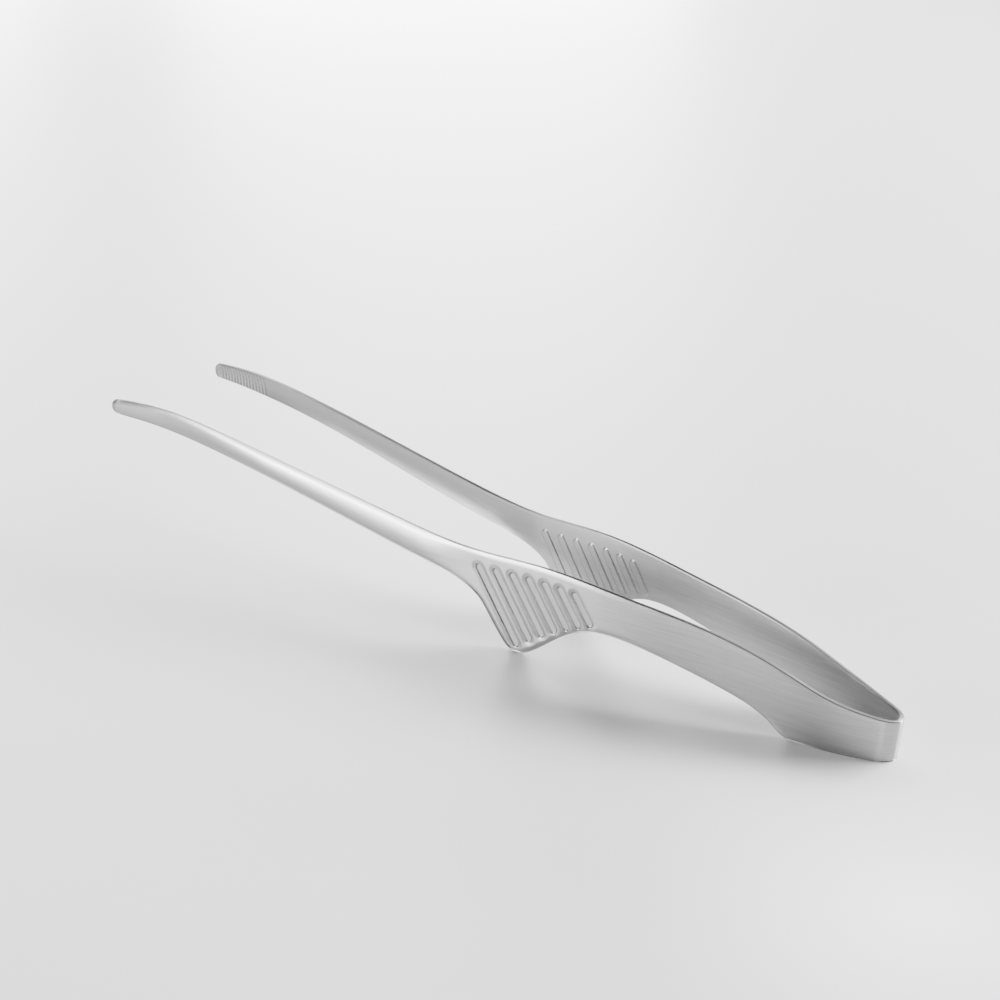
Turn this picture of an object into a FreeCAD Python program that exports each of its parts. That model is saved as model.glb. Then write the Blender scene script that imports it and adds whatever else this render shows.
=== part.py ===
import FreeCAD, Part
import math
import os

# One-piece spring tongs, folded from a single blank of stainless sheet.
# Millimetres.  X runs from the jaw tips (-X) to the folded heel (+X), the arms are
# mirror images across the XZ plane, and Z is up from the surface the tongs stand on.

Vector = FreeCAD.Vector

# ---- overall sizes -------------------------------------------------------------
LENGTH = 240.0            # heel to jaw tip
HEIGHT = 37.0             # table to the top of the jaw crest
SPREAD = 39.4             # across the edges of the open jaws
SHEET = 1.2               # thickness of the blank

# ---- fold and flex line --------------------------------------------------------
FOLD_LEAN = 5.7           # degrees the heel fold leans back from upright
FLEX_STATION = 40.0       # where each arm turns, measured along the blank from the heel
KNUCKLE_GAP = 0.1         # clearance between a rounded arm end and its seat

# ---- where the worked zones of each arm meet -------------------------------------
GRIP_START = 74.5
GRIP_END = 114.0
JAW_START = 214.0

# ---- pressed finger grooves ------------------------------------------------------
GROOVE_COUNT = 7
GROOVE_WIDTH = 1.95
GROOVE_DEPTH = 0.45       # sunk into the outer face
RIB_RISE = 0.45           # stands proud of the inner face
GROOVE_FIRST = 111.0      # station of the top end of the longest groove
GROOVE_PITCH = 5.4
GROOVE_CLOSING = 0.1      # each pitch is shorter than the one before by twice this
GROOVE_TOP_MARGIN = 4.6   # top edge down to the top end of a groove
GROOVE_LONGEST = 20.7
GROOVE_STEP = 2.75        # how much shorter the second groove is
GROOVE_STEP_EASE = 0.09
GROOVE_LEAN = 32.5        # degrees from upright, tops leaning to the jaws

# ---- channel section of the legs ---------------------------------------------------
LEG_SAG = 0.75            # how far the middle of the section bulges outwards
JAW_SAG = 0.35
CHANNEL_MARGIN = 1.0      # section made taller than the leg before it is trimmed

# ---- gripping teeth on the inside of the jaws --------------------------------------
TOOTH_SLOTS = 16          # slots cut, one fewer than the teeth
TOOTH_FIRST = 217.6
TOOTH_PITCH = 1.34
TOOTH_SLOT = 0.65         # width of the slot between two teeth
TOOTH_DEPTH = 0.3
TOOTH_LEAN = 14.0

# The shape is laid out on a 240 x 37 x 39.4 pair and stretched to the sizes above.
ALONG = LENGTH / 240.0
UP = HEIGHT / 37.0
ACROSS = SPREAD / 39.4

LEAN = math.radians(FOLD_LEAN)
FOLD_AXIS = Vector(math.sin(LEAN), 0, math.cos(LEAN))
SHIFT_PER_MM = math.tan(LEAN)
REACH = 2.0 * HEIGHT

# Upper edge of the blank seen from the side: station from the heel, height.
UPPER_EDGE = [
    (-6.0, 9.6), (0.0, 10.4), (14.0, 12.9), (28.0, 17.3), (46.0, 21.1), (68.0, 23.5),
    (92.0, 25.2), (114.0, 24.4), (138.0, 26.6), (170.0, 31.2), (199.0, 35.2),
    (222.0, 37.0), (237.3, 36.1),
]

# Lower edge: heel step, hollow under the handle, foot under the grip, leg.  The heel
# step and the foot dip a hair under the table line and are trimmed flat to it.
LOWER_EDGE = [
    (24.4, -0.1), (27.0, 1.0), (29.6, 3.0), (32.4, 4.6), (40.0, 7.0), (55.0, 10.1),
    (71.0, 12.2), (81.0, 10.9), (89.6, 5.6), (95.2, 1.5), (99.2, -0.1), (102.0, 0.5),
    (104.8, 3.2), (108.0, 7.6), (111.5, 11.9), (117.0, 14.7), (130.0, 17.4),
    (157.0, 22.1), (185.0, 27.1), (207.0, 30.2), (225.0, 31.6), (237.5, 31.8),
]
JAW_TIP = (240.0, 33.9)

# Middle of the sheet seen from above: distance along the blank, half spread.
NOSE_START = 1.65
MIDDLE = [
    (2.75, 2.05), (6.1, 3.7), (10.0, 4.85), (15.3, 6.05), (22.0, 6.85), (30.0, 7.4),
    (50.0, 8.75), (77.0, 11.25), (95.0, 12.45), (115.0, 13.35), (140.0, 14.25),
    (162.0, 15.25), (185.0, 16.35), (203.0, 17.05), (223.0, 17.85), (245.0, 19.3),
]


def side_point(station, height):
    return Vector(LENGTH / 2.0 - station * ALONG, 0, height * UP)


def through(points):
    """Smooth curve through the points."""
    curve = Part.BSplineCurve()
    curve.interpolate(points)
    return curve


def side_profile():
    """Outline of the folded blank from the side, run out past both arms."""
    upper_curve = through([side_point(s, z) for s, z in UPPER_EDGE])
    lower_curve = through([side_point(s, z) for s, z in LOWER_EDGE])
    heel_step = side_point(*LOWER_EDGE[0])
    behind = side_point(UPPER_EDGE[0][0], LOWER_EDGE[0][1])
    top_end = side_point(*UPPER_EDGE[-1])
    low_end = side_point(*LOWER_EDGE[-1])
    edges = [
        upper_curve.toShape(),
        Part.Arc(top_end, side_point(*JAW_TIP), low_end).toShape(),
        lower_curve.toShape(),
        Part.makeLine(heel_step, behind),
        Part.makeLine(behind, side_point(*UPPER_EDGE[0])),
    ]
    face = Part.Face(Part.Wire(Part.__sortEdges__(edges)))
    face.translate(Vector(0, -SPREAD, 0))
    prism = face.extrude(Vector(0, 2.0 * SPREAD, 0))
    corner = Vector(-LENGTH, -2.0 * SPREAD, 0)
    above = Part.makeBox(2.0 * LENGTH, 4.0 * SPREAD, 2.0 * HEIGHT, corner)
    return prism.common(above).Solids[0], upper_curve, lower_curve


SIDE, UPPER, LOWER = side_profile()


def height_at(curve, station):
    """Height of an edge curve at a station along the tongs."""
    x = LENGTH / 2.0 - station * ALONG
    low, high = curve.FirstParameter, curve.LastParameter
    for _ in range(50):
        middle = (low + high) / 2.0
        if curve.value(middle).x > x:
            low = middle
        else:
            high = middle
    return curve.value(low).z


def mirrored(points):
    return [Vector(p.x, -p.y, p.z) for p in points]


def blank_middle():
    """Middle line in plan, jaw to jaw round the nose of the heel."""
    half = []
    for distance, spread in MIDDLE:
        half.append(Vector(LENGTH / 2.0 - distance * ALONG, spread * ACROSS, 0))
    nose = Vector(LENGTH / 2.0 - NOSE_START * ALONG, 0, 0)
    return through(list(reversed(mirrored(half))) + [nose] + half)


MIDDLE_LINE = blank_middle()
NOSE = (MIDDLE_LINE.FirstParameter + MIDDLE_LINE.LastParameter) / 2.0


def parameter_at(distance):
    """Parameter on the middle line at a distance along the blank."""
    x = LENGTH / 2.0 - distance * ALONG
    low, high = NOSE, MIDDLE_LINE.LastParameter
    for _ in range(50):
        middle = (low + high) / 2.0
        if MIDDLE_LINE.value(middle).x > x:
            low = middle
        else:
            high = middle
    return low


def beside(parameter, offset):
    """Point beside the middle line; a positive offset is towards the outer face."""
    point = MIDDLE_LINE.value(parameter)
    along = MIDDLE_LINE.tangent(parameter)[0]
    outwards = Vector(along.y, -along.x, 0).normalize()
    return point + outwards * offset


def face_curve(start, end, offset, count):
    """Curve at a fixed offset from the middle line between two parameters."""
    points = []
    for step in range(count + 1):
        share = (step / count) ** 1.5
        points.append(beside(start + (end - start) * share, offset))
    return through(points)


def raise_plan(edges, sink=5.0):
    """Plan outline swept up the leaning fold direction."""
    face = Part.Face(Part.Wire(Part.__sortEdges__(edges)))
    face.translate(FOLD_AXIS * -sink)
    return face.extrude(FOLD_AXIS * (REACH + sink))


def bow_solid():
    """Heel: the rounded fold and the first stretch of both arms, up to the seats."""
    seat = SHEET / 2.0 + KNUCKLE_GAP
    flex = parameter_at(FLEX_STATION)
    along = MIDDLE_LINE.tangent(flex)[0]
    back = math.sqrt(seat ** 2 - (SHEET / 2.0) ** 2)
    stop = parameter_at(FLEX_STATION - back / ALONG / abs(along.x))
    pivot = MIDDLE_LINE.value(flex)
    edges = []
    ends = []
    for offset in (SHEET / 2.0, -SHEET / 2.0):
        half = []
        count = 22
        for step in range(count + 1):
            share = (step / count) ** 1.5
            half.append(beside(NOSE + (stop - NOSE) * share, offset))
        points = list(reversed(mirrored(half[1:]))) + half
        edges.append(through(points).toShape())
        ends.append(half[-1])
    deepest = pivot - along * seat
    edges.append(Part.Arc(ends[0], deepest, ends[1]).toShape())
    low = mirrored([ends[0], deepest, ends[1]])
    edges.append(Part.Arc(low[0], low[1], low[2]).toShape())
    return raise_plan(edges).common(SIDE)


def arm_band(outer, inner, round_end):
    """Flat part of one arm between two offsets from the middle line."""
    start = parameter_at(FLEX_STATION)
    end = parameter_at(GRIP_END + 12.0)
    outer_curve = face_curve(start, end, outer, 12)
    inner_curve = face_curve(start, end, inner, 12)
    a = beside(start, outer)
    b = beside(start, inner)
    edges = [outer_curve.toShape(), inner_curve.toShape()]
    if round_end:
        along = MIDDLE_LINE.tangent(start)[0]
        edges.append(Part.Arc(a, (a + b) * 0.5 - along * (SHEET / 2.0), b).toShape())
    else:
        edges.append(Part.makeLine(a, b))
    edges.append(Part.makeLine(beside(end, outer), beside(end, inner)))
    return raise_plan(edges)


def zone(start, end):
    """Block that keeps the stretch of an arm between two stations."""
    x_end = LENGTH / 2.0 - end * ALONG
    width = (end - start) * ALONG
    return Part.makeBox(width, 2.0 * SPREAD, 2.0 * HEIGHT, Vector(x_end, 0, -HEIGHT / 2.0))


def slot(station, height, length, lean, width, rounded):
    """Straight slot in side view, run through in Y; it hangs down from its top end."""
    top = side_point(station, height)
    down = Vector(math.sin(lean), 0, -math.cos(lean))
    across = Vector(math.cos(lean), 0, math.sin(lean)) * (width / 2.0)
    bottom = top + down * length
    edges = [Part.makeLine(top + across, bottom + across),
             Part.makeLine(bottom - across, top - across)]
    if rounded:
        tip = down * (width / 2.0)
        edges.append(Part.Arc(bottom + across, bottom + tip, bottom - across).toShape())
        edges.append(Part.Arc(top - across, top - tip, top + across).toShape())
    else:
        edges.append(Part.makeLine(bottom + across, bottom - across))
        edges.append(Part.makeLine(top - across, top + across))
    face = Part.Face(Part.Wire(Part.__sortEdges__(edges)))
    return face.extrude(Vector(0, SPREAD, 0))


def groove_slots():
    slots = []
    for k in range(GROOVE_COUNT):
        station = GROOVE_FIRST - GROOVE_PITCH * k + GROOVE_CLOSING * k * k
        top = height_at(UPPER, station) / UP - GROOVE_TOP_MARGIN
        length = GROOVE_LONGEST - GROOVE_STEP * k + GROOVE_STEP_EASE * k * k
        lean = math.radians(GROOVE_LEAN)
        slots.append(slot(station, top, length * UP, lean, GROOVE_WIDTH * ALONG, True))
    return slots


def grip_solid(flat):
    pad = flat.common(SIDE).common(zone(GRIP_START, GRIP_END))
    outer = SHEET / 2.0
    sunk = arm_band(outer + 0.5, outer - GROOVE_DEPTH, False)
    proud = arm_band(-outer + 0.2, -outer - RIB_RISE, False)
    for shape in groove_slots():
        pad = pad.cut(sunk.common(shape))
        pad = pad.fuse(proud.common(shape))
    return pad.removeSplitter()


def leg_section(station, sag, outer, inner):
    """Curved strip across the leg: bulging outwards, hollow inside."""
    low = height_at(LOWER, station)
    high = height_at(UPPER, station)
    centre = (low + high) / 2.0
    half = (high - low) / 2.0
    distance = station + SHIFT_PER_MM * centre / ALONG
    middle = MIDDLE_LINE.value(parameter_at(distance)).y
    x = LENGTH / 2.0 - station * ALONG
    radius = (half ** 2 + sag ** 2) / (2.0 * sag)
    crown = middle + SHEET / 2.0 + sag
    spread = half + CHANNEL_MARGIN
    arcs = []
    for offset in (outer, inner):
        r = radius + offset - SHEET / 2.0
        edge = crown - radius + math.sqrt(r ** 2 - spread ** 2)
        arcs.append([Vector(x, edge, centre + spread),
                     Vector(x, crown - radius + r, centre),
                     Vector(x, edge, centre - spread)])
    o, i = arcs
    edges = [Part.Arc(o[0], o[1], o[2]).toShape(), Part.makeLine(o[2], i[2]),
             Part.Arc(i[2], i[1], i[0]).toShape(), Part.makeLine(i[0], o[0])]
    return Part.Wire(edges)


def channel(start, end, steps, outer, inner):
    """Lofted channel between two stations."""
    wires = []
    for step in range(steps + 1):
        station = start + (end - start) * step / steps
        wires.append(leg_section(station, sag_at(station), outer, inner))
    return Part.makeLoft(wires, True, False)


def sag_at(station):
    """Bulge of the section: flat at the grip, full on the leg, eased at the jaw."""
    rise = min(1.0, (station - GRIP_END + 1.0) / 16.0)
    rise = max(0.03, rise * rise * (3.0 - 2.0 * rise))
    fall = min(1.0, max(0.0, (station - 185.0) / 35.0))
    return rise * (LEG_SAG + (JAW_SAG - LEG_SAG) * fall) * ACROSS


def leg_solid():
    body = channel(GRIP_END, JAW_START, 20, SHEET / 2.0, -SHEET / 2.0)
    return body.common(SIDE)


def jaw_solid():
    beyond = 241.0
    outer = SHEET / 2.0
    body = channel(JAW_START, beyond, 6, outer, -outer).common(SIDE)
    skin = channel(JAW_START, beyond, 6, -outer + TOOTH_DEPTH, -outer - 0.4)
    lean = math.radians(TOOTH_LEAN)
    cutters = []
    for k in range(TOOTH_SLOTS):
        station = TOOTH_FIRST + TOOTH_PITCH * k
        cutters.append(slot(station + 1.2, 38.0, 9.0 * UP, lean, TOOTH_SLOT * ALONG, False))
    return body.cut(skin.common(Part.Compound(cutters)))


def write(name, shape):
    solids = shape.Solids
    if len(solids) != 1 or not solids[0].isValid():
        raise ValueError("%s came out as %d solids" % (name, len(solids)))
    solids[0].exportStep(os.path.join("parts", name + ".step"))
    return solids[0]


def main():
    os.makedirs("parts", exist_ok=True)
    write("heel_bow", bow_solid())
    flat = arm_band(SHEET / 2.0, -SHEET / 2.0, True)
    arm = {
        "handle": flat.common(SIDE).common(zone(FLEX_STATION - 10.0, GRIP_START)),
        "grip": grip_solid(flat),
        "leg": leg_solid(),
        "jaw": jaw_solid(),
    }
    for name, shape in arm.items():
        write("far_" + name, shape)
        write("near_" + name, shape.mirror(Vector(0, 0, 0), Vector(0, 1, 0)))


main()
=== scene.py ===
import math

import bpy
import numpy as np
from mathutils import Matrix, Vector, kdtree


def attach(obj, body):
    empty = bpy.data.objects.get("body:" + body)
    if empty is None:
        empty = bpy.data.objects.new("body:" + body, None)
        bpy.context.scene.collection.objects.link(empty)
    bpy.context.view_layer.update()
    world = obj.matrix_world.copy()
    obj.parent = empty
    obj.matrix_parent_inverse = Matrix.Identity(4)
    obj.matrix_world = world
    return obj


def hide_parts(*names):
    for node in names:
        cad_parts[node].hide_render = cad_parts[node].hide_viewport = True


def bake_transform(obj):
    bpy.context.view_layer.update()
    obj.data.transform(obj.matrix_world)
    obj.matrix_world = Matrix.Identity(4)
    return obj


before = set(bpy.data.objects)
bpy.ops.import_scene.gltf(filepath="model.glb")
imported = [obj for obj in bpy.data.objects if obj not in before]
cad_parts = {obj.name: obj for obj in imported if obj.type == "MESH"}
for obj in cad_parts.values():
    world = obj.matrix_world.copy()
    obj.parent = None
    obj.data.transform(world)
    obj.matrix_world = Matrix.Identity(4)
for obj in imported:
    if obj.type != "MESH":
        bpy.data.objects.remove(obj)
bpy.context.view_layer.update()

# Sizes are in millimetres. A station is the distance from the rear of the heel to a place on
# the blank, a height is above the table, and a run is the length along the bent sheet.
MM = 0.001
LENGTH = 240.0
SHEET = 1.2
LEAN = math.tan(math.radians(5.7))
EDGE_ROUND = 0.28
ROLL_WIDTH = 1.6
HEEL_END = 74.5
PAD_END = 115.0
JAW_START = 216.5
JAW_END = 243.0

GROOVE_COUNT = 7
GROOVE_HALF = 1.0
GROOVE_LEAN = math.radians(32.5)
FIRST_GROOVE = 111.0
GROOVE_PITCH = 5.4
GROOVE_BELOW_RIM = 4.6
FIRST_GROOVE_LENGTH = 20.7
GROOVE_DEPTH = 0.33
GROOVE_DISH = 0.13
RIB_RISE = 0.22

TOOTH_PITCH = 1.34
TOOTH_DEPTH = 0.38
TOOTH_SLANT = math.radians(14.0)
TEETH_START = 217.1
TEETH_END = 238.3
FIRST_SLOT = 217.6

CHANNEL_START = 113.0
CHANNEL_RISE = 16.0
LEG_SAG = 0.75
SAG_LOSS = 0.40
SAG_LOSS_START = 185.0
SAG_LOSS_LENGTH = 35.0

HEEL_ROWS = 22
PAD_ROWS = 136
ARM_ROWS = 24

RIM_ANGLES = [35.0, 62.0, 90.0]
RIM_LOOPS = 2 * len(RIM_ANGLES)

# ---------------------------------------------------------------- outline of the blank
# The edges are (station, height); the middle of the sheet in plan is (station, distance from
# the plane between the arms).
UPPER_EDGE = [
    (-6.0, 9.6), (0.0, 10.4), (14.0, 12.9), (28.0, 17.3), (46.0, 21.1), (68.0, 23.5),
    (92.0, 25.2), (114.0, 24.4), (138.0, 26.6), (170.0, 31.2), (199.0, 35.2),
    (222.0, 37.0), (237.3, 36.1),
]
LOWER_EDGE = [
    (24.4, -0.1), (27.0, 1.0), (29.6, 3.0), (32.4, 4.6), (40.0, 7.0), (55.0, 10.1),
    (71.0, 12.2), (81.0, 10.9), (89.6, 5.6), (95.2, 1.5), (99.2, -0.1), (102.0, 0.5),
    (104.8, 3.2), (108.0, 7.6), (111.5, 11.9), (117.0, 14.7), (130.0, 17.4),
    (157.0, 22.1), (185.0, 27.1), (207.0, 30.2), (225.0, 31.6), (237.5, 31.8),
]
MIDDLE = [
    (2.75, 2.05), (6.1, 3.7), (10.0, 4.85), (15.3, 6.05), (22.0, 6.85), (30.0, 7.4),
    (50.0, 8.75), (77.0, 11.25), (95.0, 12.45), (115.0, 13.35), (140.0, 14.25),
    (162.0, 15.25), (185.0, 16.35), (203.0, 17.05), (223.0, 17.85), (245.0, 19.3),
]
NOSE_START = 1.65
TIP_CENTRE = (237.86, 33.95)
TIP_RADIUS = 2.15


def smooth(points, count=6000):
    """Dense points of the natural cubic spline through the points."""
    p = np.array(points, float)
    d = np.concatenate([[0.0], np.cumsum(np.hypot(*np.diff(p, axis=0).T))])
    n = len(p)
    h = np.diff(d)
    a = np.zeros((n, n))
    b = np.zeros((n, 2))
    a[0, 0] = a[-1, -1] = 1.0
    for i in range(1, n - 1):
        a[i, i - 1] = h[i - 1]
        a[i, i] = 2.0 * (h[i - 1] + h[i])
        a[i, i + 1] = h[i]
        b[i] = 6.0 * ((p[i + 1] - p[i]) / h[i] - (p[i] - p[i - 1]) / h[i - 1])
    m = np.linalg.solve(a, b)
    u = np.linspace(0.0, d[-1], count)
    k = np.clip(np.searchsorted(d, u, side="right") - 1, 0, n - 2)
    t0 = (u - d[k])[:, None]
    t1 = (d[k + 1] - u)[:, None]
    hk = h[k][:, None]
    return ((m[k] * t1 ** 3 + m[k + 1] * t0 ** 3) / (6.0 * hk)
            + (p[k] / hk - m[k] * hk / 6.0) * t1 + (p[k + 1] / hk - m[k + 1] * hk / 6.0) * t0)


PLAN_POINTS = 24001
UPPER = smooth(UPPER_EDGE)
LOWER = smooth(LOWER_EDGE)
LOWER[:, 1] = np.maximum(LOWER[:, 1], 0.0)
PLAN = smooth([(s, -y) for s, y in MIDDLE[::-1]] + [(NOSE_START, 0.0)] + MIDDLE, PLAN_POINTS)
PLAN = PLAN[PLAN_POINTS // 2:]
PLAN[0] = (NOSE_START, 0.0)
RUN = np.concatenate([[0.0], np.cumsum(np.hypot(*np.diff(PLAN, axis=0).T))])
TURN = np.gradient(PLAN, axis=0)
TURN /= np.hypot(TURN[:, 0], TURN[:, 1])[:, None]
TURN[0] = (0.0, 1.0)


def upper_at(s):
    """Height of the upper edge at a station."""
    return np.interp(s, UPPER[:, 0], UPPER[:, 1])


def lower_at(s):
    """Height of the lower edge at a station."""
    return np.where(s < LOWER[0, 0], 0.0, np.interp(s, LOWER[:, 0], LOWER[:, 1]))


def run_at(sigma):
    """Run along the bent sheet at a station measured at table height."""
    return float(np.interp(sigma, PLAN[:, 0], RUN))


def rim_table(pitch=0.4):
    """Distance to the outline of the blank over a grid of station and height."""
    turn = np.linspace(-1.5, 1.5, 60)
    nose = np.stack([TIP_CENTRE[0] + TIP_RADIUS * np.cos(turn),
                     TIP_CENTRE[1] + TIP_RADIUS * np.sin(turn)], 1)
    foot = np.linspace(-9.0, LOWER_EDGE[0][0], 120)
    edge = np.concatenate([UPPER[::6], LOWER[::6], nose, np.stack([foot, 0.0 * foot], 1)])
    tree = kdtree.KDTree(len(edge))
    for i, (s, z) in enumerate(edge):
        tree.insert((s, z, 0.0), i)
    tree.balance()
    stations = np.arange(-9.0, 242.0, pitch)
    heights = np.arange(-0.8, 38.4, pitch)
    gap = [[tree.find((s, z, 0.0))[2] for z in heights] for s in stations]
    return stations, heights, np.array(gap)


RIM_S, RIM_Z, RIM_GAP = rim_table()


def rim_gap(s, z):
    """Distance to the outline, read between the places of the table."""
    a = np.clip((s - RIM_S[0]) / (RIM_S[1] - RIM_S[0]), 0, len(RIM_S) - 1.001)
    b = np.clip((z - RIM_Z[0]) / (RIM_Z[1] - RIM_Z[0]), 0, len(RIM_Z) - 1.001)
    i, j = a.astype(int), b.astype(int)
    a, b = a - i, b - j
    low = RIM_GAP[i, j] * (1.0 - b) + RIM_GAP[i, j + 1] * b
    high = RIM_GAP[i + 1, j] * (1.0 - b) + RIM_GAP[i + 1, j + 1] * b
    return low * (1.0 - a) + high * a


def die_roll(s, z):
    """How far the outer face falls away as it nears the rim."""
    fall = np.interp(s, [20.0, 60.0, 85.0, 108.0, 125.0], [0.14, 0.18, 0.36, 0.36, 0.2])
    return fall * np.clip(1.0 - rim_gap(s, z) / ROLL_WIDTH, 0.0, 1.0) ** 2


# ---------------------------------------------------------------- pressed details
GROOVES = []
for k in range(GROOVE_COUNT):
    s_top = FIRST_GROOVE - GROOVE_PITCH * k + 0.1 * k * k
    z_top = float(upper_at(s_top)) - GROOVE_BELOW_RIM
    reach = FIRST_GROOVE_LENGTH - 2.75 * k + 0.09 * k * k
    s_foot = s_top - reach * math.sin(GROOVE_LEAN)
    z_foot = z_top - reach * math.cos(GROOVE_LEAN)
    GROOVES.append((s_top, z_top, s_foot, z_foot))


def step(x):
    """Smooth step from 0 to 1."""
    x = np.clip(x, 0.0, 1.0)
    return x * x * (3.0 - 2.0 * x)


def groove_distance(s, z):
    """Distance to the nearest groove's middle line."""
    best = np.full(np.shape(s), 99.0)
    for s1, z1, s0, z0 in GROOVES:
        ds, dz = s1 - s0, z1 - z0
        t = np.clip(((s - s0) * ds + (z - z0) * dz) / (ds * ds + dz * dz), 0.0, 1.0)
        best = np.minimum(best, np.hypot(s - s0 - t * ds, z - z0 - t * dz))
    return best


def groove_press(s, z):
    """Depth of the grooves in the outer face, with a shallow dish around each."""
    d = groove_distance(s, z)
    wall = GROOVE_DEPTH * step((GROOVE_HALF + 0.18 - d) / 0.4)
    return wall + GROOVE_DISH * step((2.3 - d) / 1.3)


def rib_press(s, z):
    """Height of the ribs that the grooves raise on the inner face."""
    d = groove_distance(s, z)
    return RIB_RISE * step((GROOVE_HALF + 0.3 - d) / 0.55)


def tooth_cut(s, z):
    """Depth of the slots between the teeth on the inside of a jaw."""
    along = s - (z - 34.0) * math.tan(TOOTH_SLANT)
    inside = step((along - TEETH_START) / 0.3) * step((TEETH_END - along) / 0.3)
    wave = 0.5 + 0.5 * np.cos(2.0 * math.pi * (along - FIRST_SLOT) / TOOTH_PITCH)
    return TOOTH_DEPTH * inside * step(wave * 1.35 - 0.15)


def sag_of(s):
    """How far the middle of the channel stands out from its edges."""
    rise = step((s - CHANNEL_START) / CHANNEL_RISE)
    fall = np.clip((s - SAG_LOSS_START) / SAG_LOSS_LENGTH, 0.0, 1.0)
    return rise * (LEG_SAG - SAG_LOSS * fall)


def sheet_point(run, z, side, off, detail):
    """Point of the sheet at a run along the blank and a height; off is from mid sheet."""
    sigma = np.interp(run, RUN, PLAN[:, 0])
    y = np.interp(run, RUN, PLAN[:, 1])
    tx = np.interp(run, RUN, TURN[:, 0])
    ty = np.interp(run, RUN, TURN[:, 1])
    s = sigma - LEAN * z
    mid = (upper_at(s) + lower_at(s)) / 2.0
    half = np.maximum((upper_at(s) - lower_at(s)) / 2.0, 1.9)
    bulge = sag_of(s) * (1.0 - ((z - mid) / half) ** 2)
    push = off + bulge
    if detail == "outer":
        push = push - groove_press(s, z) - die_roll(s, z)
    elif detail == "inner":
        push = push - rib_press(s, z) + tooth_cut(s, z)
    x = LENGTH / 2.0 - s + push * ty
    return np.stack([x, side * (y + push * tx), z + 0.0 * x], -1)


def frame_at(run, z, side, off, detail):
    """Point and unit vectors along the blank, up it, and out of its outer face."""
    nudge = 0.03
    p = sheet_point(run, z, side, off, detail)
    low = np.maximum(run - nudge, 0.0)
    du = sheet_point(run + nudge, z, side, off, detail) - sheet_point(low, z, side, off, detail)
    dz = (sheet_point(run, z + nudge, side, off, detail)
          - sheet_point(run, z - nudge, side, off, detail))
    du /= np.linalg.norm(du, axis=-1, keepdims=True)
    dz /= np.linalg.norm(dz, axis=-1, keepdims=True)
    n = np.cross(dz, du) * (1.0 if side > 0 else -1.0)
    n /= np.linalg.norm(n, axis=-1, keepdims=True)
    return p, du, dz, n


def edge_height(run, edge):
    """Height of an edge above a run along the blank, allowing for the lean."""
    sigma = np.interp(run, RUN, PLAN[:, 0])
    z = edge(sigma)
    for _ in range(12):
        z = edge(sigma - LEAN * z)
    return z


def columns_between(start, end, pitch):
    """Evenly spaced runs from start to end, about a pitch apart."""
    count = max(2, int(round((end - start) / pitch)))
    return list(np.linspace(start, end, count + 1))


def outline(runs, tip):
    """Edge points and outward directions, top and bottom, in (run, height)."""
    runs = np.array(runs)
    top = np.stack([runs, edge_height(runs, upper_at)], 1)
    low = np.stack([runs, edge_height(runs, lower_at)], 1)
    if tip:
        centre_run = run_at(TIP_CENTRE[0] + LEAN * TIP_CENTRE[1])
        turn = np.radians(np.linspace(104.0, 3.0, 22))
        arc = np.stack([centre_run + TIP_RADIUS * np.cos(turn),
                        TIP_CENTRE[1] + TIP_RADIUS * np.sin(turn)], 1)
        arc_low = np.stack([arc[:, 0], 2.0 * TIP_CENTRE[1] - arc[:, 1]], 1)
        stop = arc[0, 0] - 0.15
        top = np.concatenate([top[runs < stop], arc])
        low = np.concatenate([low[runs < stop], arc_low])
    out = []
    for pts, sign in ((top, 1.0), (low, -1.0)):
        t = np.gradient(pts, axis=0)
        t /= np.maximum(np.hypot(t[:, 0], t[:, 1]), 1e-9)[:, None]
        out.append((pts, np.stack([-t[:, 1], t[:, 0]], 1) * sign))
    return out


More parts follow.
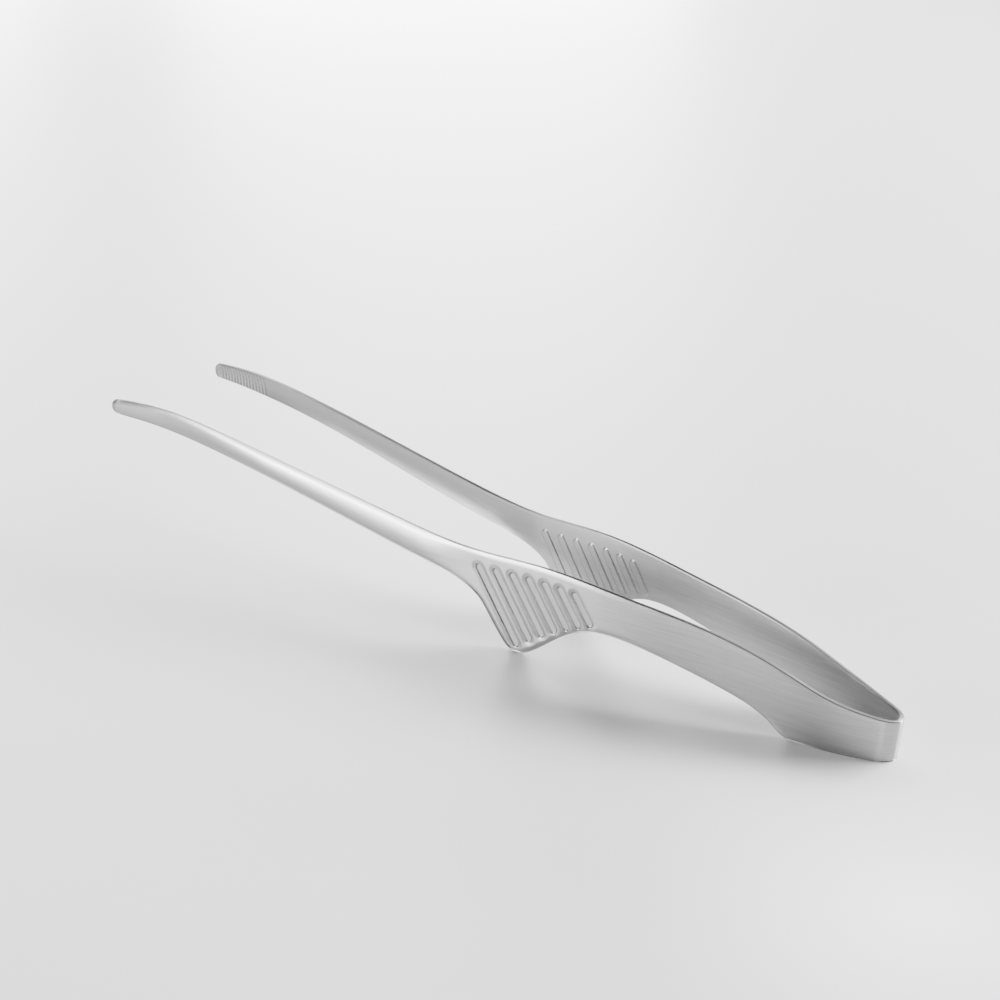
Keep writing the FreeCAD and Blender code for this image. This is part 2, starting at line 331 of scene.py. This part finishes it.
def strip(name, side, runs, rows, tip=False):
    """One stretch of the blank on one side, with rounded cut edges."""
    (top, top_out), (low, low_out) = outline(runs, tip)
    t_in = top - top_out * EDGE_ROUND
    b_in = low - low_out * EDGE_ROUND
    half = SHEET / 2.0
    v = np.linspace(0.0, 1.0, rows + 1)
    bunch = 0.3 if rows == PAD_ROWS else 0.9
    v = bunch * (0.5 - 0.5 * np.cos(math.pi * v)) + (1.0 - bunch) * v
    run = b_in[:, None, 0] + (t_in - b_in)[:, None, 0] * v[None]
    z = b_in[:, None, 1] + (t_in - b_in)[:, None, 1] * v[None]
    loops_p, loops_n, loops_uv = [], [], []

    def add_loops(points, normals, uv):
        loops_p.append(points)
        loops_n.append(normals)
        loops_uv.append(uv)

    p, _, _, n = frame_at(run, z, side, half, "outer")
    station = np.interp(run, RUN, PLAN[:, 0]) - LEAN * z
    pressed = groove_distance(station, z) < GROOVE_HALF - 0.15
    add_loops(p, n, np.stack([run, z], -1))

    def rim(at, out_dir, order):
        """Rounded cut edge, from the outer face to the inner one where order is 1."""
        m, du, dz, n0 = frame_at(at[:, 0], at[:, 1], side, 0.0, "")
        e3 = du * out_dir[:, :1] + dz * out_dir[:, 1:]
        e3 /= np.linalg.norm(e3, axis=1, keepdims=True)
        edge_station = np.interp(at[:, 0], RUN, PLAN[:, 0]) - LEAN * at[:, 1]
        fall = die_roll(edge_station, at[:, 1])[:, None]
        ring = [(1.0, a) for a in RIM_ANGLES] + [(-1.0, a) for a in reversed(RIM_ANGLES)]
        if order < 0:
            ring = [(-face, a) for face, a in ring]
        for face, a in ring:
            c, q = math.cos(math.radians(a)), math.sin(math.radians(a))
            sunk = fall if face > 0 else 0.0
            pos = m + e3 * (EDGE_ROUND * q)
            pos = pos + n0 * face * (half - sunk - EDGE_ROUND + EDGE_ROUND * c)
            nor = n0 * face * c + e3 * q
            uv = at + out_dir * (EDGE_ROUND * q + (1.0 - face) * 0.3)
            add_loops(pos[:, None], nor[:, None], uv[:, None])

    rim(t_in, top_out, 1)
    p, _, _, n = frame_at(run[:, ::-1], z[:, ::-1], side, -half, "inner")
    add_loops(p, -n, np.stack([run[:, ::-1], z[:, ::-1]], -1))
    rim(b_in, low_out, -1)

    pos = np.concatenate(loops_p, 1)
    nor = np.concatenate(loops_n, 1)
    uvs = np.concatenate(loops_uv, 1)
    cols, ring_count = pos.shape[:2]
    verts = pos.reshape(-1, 3) * MM
    nors = nor.reshape(-1, 3)
    i, j = np.meshgrid(np.arange(cols - 1), np.arange(ring_count), indexing="ij")
    jn = (j + 1) % ring_count
    quad = np.stack([i * ring_count + j, i * ring_count + jn,
                     (i + 1) * ring_count + jn, (i + 1) * ring_count + j], -1).reshape(-1, 4)
    ii = i.reshape(-1)
    jj = j.reshape(-1)
    inner_start = rows + 1 + RIM_LOOPS
    on_outer = jj < rows
    on_inner = (jj >= inner_start) & (jj < inner_start + rows)

    def both_corners(marked, chosen, first_row):
        """Which of the chosen faces have two opposite corners marked."""
        ic, jc = ii[chosen], jj[chosen] - first_row
        found = np.zeros(len(quad), bool)
        found[chosen] = marked[ic, jc] & marked[ic + 1, jc + 1]
        return found

    mat = np.zeros(len(quad), int)
    # Rim faces take the cut-edge steel, whose darker grey is painted shade along the rims.
    mat[~(on_outer | on_inner)] = MATS.index(RIM)
    mat[both_corners(pressed, on_outer, 0)] = MATS.index(PIT)
    # Slots between the teeth take the dark slot steel, painted shade in the recesses.
    if tip:
        slotted = (tooth_cut(station, z) > 0.16)[:, ::-1]
        mat[both_corners(slotted, on_inner, inner_start)] = MATS.index(SLOT)
    if side > 0:
        quad = quad[:, ::-1]
    # Make the winding agree with the outward normals.
    a, b, c = verts[quad[:, 0]], verts[quad[:, 1]], verts[quad[:, 2]]
    if np.sum(np.cross(b - a, c - a) * nors[quad[:, 0]]) < 0:
        quad = quad[:, ::-1]
    mesh = bpy.data.meshes.new(name)
    mesh.from_pydata(verts.tolist(), [], quad.tolist())
    for m in MATS:
        mesh.materials.append(m)
    mesh.polygons.foreach_set("material_index", mat.astype(np.int32))
    mesh.polygons.foreach_set("use_smooth", np.ones(len(quad), bool))
    uv_layer = mesh.uv_layers.new(name="sheet")
    index = np.zeros(len(mesh.loops), np.int32)
    mesh.loops.foreach_get("vertex_index", index)
    flat = (uvs.reshape(-1, 2) / LENGTH)[index]
    uv_layer.data.foreach_set("uv", flat.astype(np.float32).ravel())
    mesh.validate()
    mesh.normals_split_custom_set_from_vertices(nors.tolist())
    obj = bpy.data.objects.new(name, mesh)
    bpy.context.collection.objects.link(obj)
    return obj


# ---------------------------------------------------------------- materials
def steel(name, grey, rough, grain, streak, bump, stipple=0.0):
    """Steel brushed along the blank: fine streaks in roughness, tone and bump."""
    mat = bpy.data.materials.new(name)
    mat.use_nodes = True
    nodes, links = mat.node_tree.nodes, mat.node_tree.links
    nodes.clear()
    out = nodes.new("ShaderNodeOutputMaterial")
    bsdf = nodes.new("ShaderNodeBsdfPrincipled")
    links.new(bsdf.outputs[0], out.inputs[0])
    bsdf.inputs["Metallic"].default_value = 1.0
    bsdf.inputs["Anisotropic"].default_value = 0.85
    bsdf.inputs["Anisotropic Rotation"].default_value = 0.25
    uv = nodes.new("ShaderNodeUVMap")
    uv.uv_map = "sheet"
    tangent = nodes.new("ShaderNodeTangent")
    tangent.direction_type = "UV_MAP"
    tangent.uv_map = "sheet"
    links.new(tangent.outputs[0], bsdf.inputs["Tangent"])

    def noise(scale_u, scale_v, detail):
        stretch = nodes.new("ShaderNodeMapping")
        stretch.inputs["Scale"].default_value = (scale_u, scale_v, 1.0)
        links.new(uv.outputs[0], stretch.inputs[0])
        n = nodes.new("ShaderNodeTexNoise")
        n.inputs["Scale"].default_value = 1.0
        n.inputs["Detail"].default_value = detail
        n.inputs["Roughness"].default_value = 0.6
        links.new(stretch.outputs[0], n.inputs["Vector"])
        return n

    fine = noise(15.0, grain, 4.0)
    broad = noise(5.0, 260.0, 3.0)
    place = nodes.new("ShaderNodeSeparateXYZ")
    links.new(uv.outputs[0], place.inputs[0])
    coarse = nodes.new("ShaderNodeMapRange")
    coarse.inputs["From Min"].default_value = 0.31
    coarse.inputs["From Max"].default_value = 0.46
    coarse.inputs["To Min"].default_value = 2.0 * streak
    coarse.inputs["To Max"].default_value = 0.7 * streak
    links.new(place.outputs["X"], coarse.inputs["Value"])
    centred = nodes.new("ShaderNodeMath")
    centred.operation = "SUBTRACT"
    centred.inputs[1].default_value = 0.5
    links.new(fine.outputs["Fac"], centred.inputs[0])
    tone = nodes.new("ShaderNodeMath")
    tone.operation = "MULTIPLY_ADD"
    tone.inputs[2].default_value = 1.0
    links.new(centred.outputs[0], tone.inputs[0])
    links.new(coarse.outputs[0], tone.inputs[1])
    shade = nodes.new("ShaderNodeVectorMath")
    shade.operation = "SCALE"
    shade.inputs[0].default_value = (grey, grey, grey)
    links.new(tone.outputs[0], shade.inputs["Scale"])
    links.new(shade.outputs[0], bsdf.inputs["Base Color"])
    wear = nodes.new("ShaderNodeMapRange")
    wear.inputs["From Min"].default_value = 0.2
    wear.inputs["From Max"].default_value = 0.8
    wear.inputs["To Min"].default_value = rough - 0.04
    wear.inputs["To Max"].default_value = rough + 0.04
    links.new(broad.outputs["Fac"], wear.inputs["Value"])
    links.new(wear.outputs[0], bsdf.inputs["Roughness"])
    grain_bump = nodes.new("ShaderNodeBump")
    grain_bump.inputs["Strength"].default_value = bump
    grain_bump.inputs["Distance"].default_value = 0.00002
    if stipple:
        pits = noise(900.0, 900.0, 2.0)
        links.new(pits.outputs["Fac"], grain_bump.inputs["Height"])
        grain_bump.inputs["Distance"].default_value = stipple
    else:
        links.new(fine.outputs["Fac"], grain_bump.inputs["Height"])
    links.new(grain_bump.outputs[0], bsdf.inputs["Normal"])
    return mat


FACE = steel("brushed_face", grey=0.32, rough=0.30, grain=560.0, streak=0.35, bump=0.35)
# The cut edges are painted darker than the faces (grey 0.25 against 0.32). This is painted shade
# standing in for the dark reflections along the rims; their higher roughness is the cut edge's own.
RIM = steel("cut_edge_painted_shade", grey=0.25, rough=0.38, grain=900.0, streak=0.15, bump=0.2)
PIT = steel("stippled_groove", grey=0.31, rough=0.60, grain=900.0, streak=0.3, bump=0.6, stipple=0.00006)
# The slots between the teeth are painted dark (grey 0.15 against 0.32): painted shade in the recesses.
SLOT = steel("tooth_slot_painted_shade", grey=0.15, rough=0.45, grain=900.0, streak=0.2, bump=0.3)
MATS = [FACE, RIM, PIT, SLOT]

# ---------------------------------------------------------------- the tongs
bow_runs = [0.0] + columns_between(0.35, 14.0, 0.35) + columns_between(14.6, 24.0, 0.6)[1:]
R_END = run_at(HEEL_END)
heel_runs = bow_runs + columns_between(24.0, 34.0, 0.35)[1:] + columns_between(34.0, R_END, 1.0)[1:]
R_PAD = run_at(PAD_END)
R_JAW = run_at(JAW_START)
R_TIP = run_at(JAW_END)
pad_runs = columns_between(R_END, R_PAD, 0.19)
leg_runs = columns_between(R_PAD, R_PAD + 12.0, 0.5) + columns_between(R_PAD + 12.0, R_JAW, 1.5)[1:]
jaw_runs = columns_between(R_JAW, R_TIP, 0.13)
for label, side in (("near", -1.0), ("far", 1.0)):
    heel = strip(label + "_heel_and_handle", side, heel_runs, HEEL_ROWS)
    grip = strip(label + "_grip_pad", side, pad_runs, PAD_ROWS)
    leg = strip(label + "_leg_channel", side, leg_runs, ARM_ROWS)
    jaw = strip(label + "_jaw_tip", side, jaw_runs, ARM_ROWS, tip=True)
    arm = label + "_arm"
    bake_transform(heel)
    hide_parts("heel_bow", label + "_handle")
    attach(grip, arm)
    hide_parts(label + "_grip")
    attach(leg, arm)
    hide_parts(label + "_leg")
    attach(jaw, arm)
    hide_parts(label + "_jaw")

# ---------------------------------------------------------------- studio
floor_mat = bpy.data.materials.new("pale_floor")
floor_mat.use_nodes = True
floor_bsdf = floor_mat.node_tree.nodes["Principled BSDF"]
floor_bsdf.inputs["Base Color"].default_value = (0.80, 0.80, 0.80, 1.0)
floor_bsdf.inputs["Roughness"].default_value = 0.5
floor_bsdf.inputs["IOR"].default_value = 1.9
bpy.ops.mesh.primitive_plane_add(size=12.0, location=(0, 0, 0))
floor = bpy.context.object
floor.name = "studio_floor"
floor.data.materials.append(floor_mat)

world = bpy.data.worlds.new("studio")
bpy.context.scene.world = world
world.use_nodes = True
back = world.node_tree.nodes["Background"]
back.inputs["Color"].default_value = (1.0, 1.0, 1.0, 1.0)
back.inputs["Strength"].default_value = 0.04


def soft_light(name, place, target, size, power):
    """Rectangular lamp at a place, aimed at a target."""
    data = bpy.data.lights.new(name, "AREA")
    data.shape = "RECTANGLE"
    data.size = size[0]
    data.size_y = size[1]
    data.energy = power
    obj = bpy.data.objects.new(name, data)
    obj.location = place
    aim = Vector(target) - Vector(place)
    obj.rotation_euler = aim.to_track_quat("-Z", "Y").to_euler()
    bpy.context.collection.objects.link(obj)


def around(bearing, distance, height):
    """Place at a bearing in degrees from +X, a distance out and a height."""
    a = math.radians(bearing)
    return (distance * math.cos(a), distance * math.sin(a), height)


# Each lamp has a bearing and a lift in degrees, a size in metres and a power in watts.
STUDIO = 1.4
LAMP_TARGET = (0.0, 0.0, 0.02)
for name, bearing, lift, size, power in (
        ("front_strip", -120.5, 9.0, (0.42, 0.36), 25.0),
        ("front_right_strip", -84.0, 9.0, (0.45, 0.36), 2.0),
        ("bow_strip", -62.0, 5.0, (0.20, 0.16), 3.0),
        ("rear_left_box", 150.0, 47.0, (0.60, 0.50), 9.0),
        ("rear_strip", 132.0, 9.0, (0.45, 0.36), 18.0),
        ("left_strip", 156.0, 9.0, (0.45, 0.36), 15.0),
        ("right_strip", 36.0, 9.0, (0.45, 0.36), 59.0),
        ("rear_right_box", 60.0, 32.0, (0.75, 0.55), 54.0),
        ("rear_box", 90.0, 32.0, (0.75, 0.55), 8.5)):
    rise = math.radians(lift)
    soft_light(name, around(bearing, STUDIO * math.cos(rise), STUDIO * math.sin(rise)),
               LAMP_TARGET, size, power)

POOL_PLACE = Vector((0.30, -0.20, 0.55))
POOL_TARGET = Vector((0.150, -0.048, 0.0))
pool = bpy.data.lights.new("heel_pool", "SPOT")
pool.energy = 35.0
pool.spot_size = math.radians(7.5)
pool.spot_blend = 1.0
pool.shadow_soft_size = 0.03
pool_obj = bpy.data.objects.new("heel_pool", pool)
pool_obj.location = POOL_PLACE
pool_obj.rotation_euler = (POOL_TARGET - POOL_PLACE).to_track_quat("-Z", "Y").to_euler()
bpy.context.collection.objects.link(pool_obj)

# ---------------------------------------------------------------- camera
AZ = math.radians(39.822)
EL = math.radians(23.191)
ROLL = math.radians(-0.262)
CAMERA_PLACE = Vector((0.29915, -0.35341, 0.22926))
look = Vector((-math.sin(AZ) * math.cos(EL), math.cos(AZ) * math.cos(EL), -math.sin(EL)))
right = look.cross(Vector((0, 0, 1))).normalized()
up = right.cross(look)
right_r = right * math.cos(ROLL) + up * math.sin(ROLL)
up_r = up * math.cos(ROLL) - right * math.sin(ROLL)
cam_data = bpy.data.cameras.new("camera")
cam_data.lens = 72.0
cam_data.sensor_width = 36.0
cam_data.clip_start = 0.01
cam = bpy.data.objects.new("camera", cam_data)
bpy.context.collection.objects.link(cam)
cam.matrix_world = Matrix((
    (right_r.x, up_r.x, -look.x, CAMERA_PLACE.x),
    (right_r.y, up_r.y, -look.y, CAMERA_PLACE.y),
    (right_r.z, up_r.z, -look.z, CAMERA_PLACE.z),
    (0, 0, 0, 1)))
bpy.context.scene.camera = cam

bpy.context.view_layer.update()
